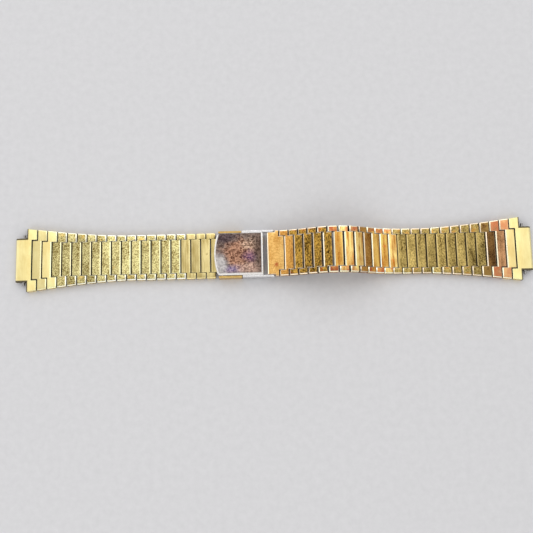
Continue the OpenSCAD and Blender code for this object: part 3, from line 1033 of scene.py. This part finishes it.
copper_gold = gold_finish(
    "copper gold", linear(214, 162, 116), linear(112, 78, 46),
    grain=0.4, streak=0.4, stain=linear(170, 104, 70), stained=0.2, tint=linear(186, 112, 74),
    tinted=0.9, rough=0.34,
)
steel_pin = steel_finish(
    "pin steel", linear(190, 188, 186), linear(120, 116, 112), (6.0, 0.6, 6.0), 0.32
)
rail_steel = steel_finish(
    "rail steel", linear(252, 252, 252), linear(196, 192, 194), (0.5, 10.0, 10.0), 0.24
)
leaf_steel = steel_finish(
    "leaf steel", linear(206, 204, 204), linear(130, 126, 126), (0.4, 9.0, 9.0), 0.34
)
leaf_gold = steel_finish(
    "leaf gold", linear(240, 206, 132), linear(176, 132, 66), (0.5, 9.0, 9.0), 0.28
)
worn_cover = cover_finish()

link_body = link_tree("link", bar_corners(BAR_FRONT), BAR_MID, BLOCK_START, False, steel_pin)
end_body = link_tree(
    "end_piece", tongue_corners(TONGUE_TIP, TONGUE_ROUND), TONGUE_MID, SHOULDER_START, True,
    steel_pin,
)
round_tongue = plain_corners(NECK - NECK_OVERLAP, PITCH + HALF_T, EDGE, HALF_T)
left_to_clasp = clasp_link_tree(
    "left_link_to_clasp", bar_corners(NECK), NECK_MID, bar_length(LEFT_LINKS + 1) / 2,
    [(round_tongue, ROUND_TONGUE_MID, ROUND_TONGUE)],
)
wings = plain_corners(BLOCK_START, WING_END, EDGE, EDGE)
right_to_clasp = clasp_link_tree(
    "right_link_to_clasp", tongue_corners(-BAR_BACK, BAR_BACK), BAR_MID,
    bar_length(RIGHT_LINKS + 1) / 2,
    [(wide_corners(), WIDE_MID, WIDE_BODY), (wings, WINGS_MID, WIDE_WINGS)],
)

# Finish and tone of each link, from the end piece towards the clasp; the tones paint the light and
# shade that each link catches, brightest where it faces the light
BARK_TONES = (0.65, 0.55, 0.6, 0.5, 0.75, 1.0, 0.8, 0.95, 0.95, 0.8, 0.95, 0.9, 1.05)
KHAKI_TONES = (0.4, 0.4, 0.65, 0.75, 1.0, 0.5, 0.6, 0.95, 0.75)
LEFT_LOOKS = [
    (pale_plain, 0.5), (pale_plain, 0.95),
    *((bark_gold, tone) for tone in BARK_TONES),
    (brushed_gold, 0.78), (brushed_gold, 0.62), (brushed_gold, 0.82),
]
# painted highlight and reflection: streaked and amber finishes with high tones on the raised
# links, darker olive, khaki, brown and copper elsewhere
RIGHT_LOOKS = [
    (red_lit_sides, 0.9), (copper_gold, 0.9), (brown_gold, 0.72),
    *((khaki_bark, tone) for tone in KHAKI_TONES),
    (streaked_gold, 1.2), (amber_gold, 1.4), (amber_gold, 0.9), (orange_gold, 0.1),
    (streaked_gold, 0.95), (streaked_gold, 1.05), (amber_gold, 0.95),
    (olive_bark, 0.85), (olive_bark, 0.7), (olive_bark, 0.68), (olive_bark, 0.72),
    (orange_gold, 0.75),
]


def put(piece, node):
    """Lets the piece stand for a CAD node, and move with it."""
    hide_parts(node)
    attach(piece, node)


def laid_link(node, tree, look, inner, outer, sizes):
    """Makes a piece of the band between its two pins, in the half it belongs to."""
    right = node.endswith("right") or node.startswith("link_right")
    slope = math.atan2(outer.z - inner.z, abs(outer.x - inner.x))
    finish, tone = look
    settings = {
        "Finish": finish,
        "Tone": tone,
        "Place": tuple(outer),
        "Turn": (0.0, slope, math.pi) if right else (0.0, 0.0, 0.0),
    }
    put(made(node + "_worn", tree, {**settings, **sizes}), node)


def link_sizes(k, start):
    """The sizes across the band of link k, or of an end piece where k is 0."""
    reach = (PITCH - SHOULDER_START) + (k - 1) * PITCH
    return {
        "Bar length": TONGUE_W if k == 0 else bar_length(k),
        "Slot width": bar_length(k + 1) + 2 * SIDE_GAP,
        "Width at start": band_width(reach + start),
        "Width at end": band_width(reach + BLOCK_END),
        "Pin length": band_width(reach + PITCH) - 2 * PIN_RECESS,
    }


def lay_half(side, outward, looks, clasp_tree, clasp_look):
    """Lays one half of the band, from its end piece to the link next to the clasp."""
    links = [f"link_{side}_{k:02d}" for k in range(1, len(looks) + 1)]
    names = [f"end_piece_{side}", *links, f"clasp_link_{side}"]
    pins = [hinges[name] for name in names]
    pins.insert(0, pins[0] + Vector((outward * PITCH, 0.0, 0.0)))
    for k, look in enumerate(looks, 1):
        sizes = link_sizes(k, BLOCK_START)
        laid_link(names[k], link_body, look, pins[k + 1], pins[k], sizes)
    sizes = link_sizes(0, SHOULDER_START)
    laid_link(names[0], end_body, (pale_plain, 1.0), pins[1], pins[0], sizes)
    laid_link(names[-1], clasp_tree, clasp_look, pins[-1], pins[-2], {})


hinges = {
    joint["child"]: Vector(joint["pos_m"]) / MM for joint in frame["joints"] if "pos_m" in joint
}
lay_half("left", -1, LEFT_LOOKS, left_to_clasp, (brushed_gold, 0.9))
lay_half("right", 1, RIGHT_LOOKS, right_to_clasp, (light_orange, 0.75))

cover = eased_copy("cover_leaf", "cover_worn", LEAF_EDGE, [worn_cover, rail_steel], cover_side)
put(cover, "cover_leaf")
base = eased_copy("bottom_leaf", "base_worn", LEAF_EDGE, [leaf_gold])
put(base, "bottom_leaf")
middle = eased_copy("middle_leaf", "middle_worn", THIN_LEAF_EDGE, [leaf_steel])
put(middle, "middle_leaf")

for name, node in frame["nodes"].items():
    if name.startswith(("pin_", "spring_")):
        node.data.materials.clear()
        node.data.materials.append(steel_pin)

# ------------------------------------------------------------------ the studio


def lay_floor():
    """A square floor under the bracelet."""
    r = FLOOR_REACH
    mesh = bpy.data.meshes.new("floor")
    mesh.from_pydata([(-r, -r, 0), (r, -r, 0), (r, r, 0), (-r, r, 0)], [], [(0, 1, 2, 3)])
    mesh.materials.append(floor_finish())
    floor = bpy.data.objects.new("floor", mesh)
    bpy.context.scene.collection.objects.link(floor)


def hang_lamp(name, place, target, size, power):
    """A soft rectangular lamp that faces the target."""
    light = bpy.data.lights.new(name, "AREA")
    light.shape = "RECTANGLE"
    light.size, light.size_y = size
    light.energy = power
    holder = bpy.data.objects.new(name, light)
    holder.location = place
    aim = Vector(target) - Vector(place)
    holder.rotation_euler = aim.to_track_quat("-Z", "Y").to_euler()
    bpy.context.scene.collection.objects.link(holder)


def light_background():
    """A background that is brighter above, and is seen paler than it lights the bracelet."""
    world = bpy.data.worlds.new("studio")
    bpy.context.scene.world = world
    world.use_nodes = True
    sky = Nodes(world.node_tree)
    _, _, up = sky.axes(sky.add("ShaderNodeTexCoord").outputs["Generated"])
    rise = sky.band(up, *RISE_HEIGHTS, LOW_GLOW, HIGH_GLOW)
    glow = sky.minus(rise, sky.band(up, *DIP_HEIGHTS, 0.0, TOP_DIP))
    rays = sky.add("ShaderNodeLightPath").outputs
    seen = sky.plus(rays["Is Camera Ray"], rays["Is Glossy Ray"])
    seen = sky.maths("ADD", seen, rays["Is Transmission Ray"], clamp=True)
    paler = sky.minus(sky.larger(glow, SEEN_GLOW), glow)
    backdrop = world.node_tree.nodes["Background"]
    backdrop.inputs["Color"].default_value = (1.0, 0.99, 0.97, 1.0)
    sky.feed(backdrop.inputs["Strength"], sky.plus(glow, sky.times(seen, paler)))


def set_camera():
    """Looks down on the bracelet, a little from the front, as the photo does."""
    data = bpy.data.cameras.new("camera")
    data.sensor_width = SENSOR_MM
    data.lens = SENSOR_MM * CAMERA_AWAY / FRAME_MM
    data.clip_start = NEAREST_M
    camera = bpy.data.objects.new("camera", data)
    bpy.context.scene.collection.objects.link(camera)
    tilt = math.radians(CAMERA_TILT)
    back = Vector((0.0, -math.sin(tilt), math.cos(tilt)))
    across = Matrix.Rotation(-math.radians(CAMERA_ROLL), 3, back) @ Vector((1.0, 0.0, 0.0))
    placed = Matrix((across, back.cross(across), back)).transposed().to_4x4()
    placed.translation = Vector(VIEW_CENTRE) * MM + back * CAMERA_AWAY * MM
    camera.matrix_world = placed
    bpy.context.scene.camera = camera


lay_floor()
for lamp in LAMPS:
    hang_lamp(*lamp)
light_background()
set_camera()
bpy.context.scene.view_settings.view_transform = "Standard"
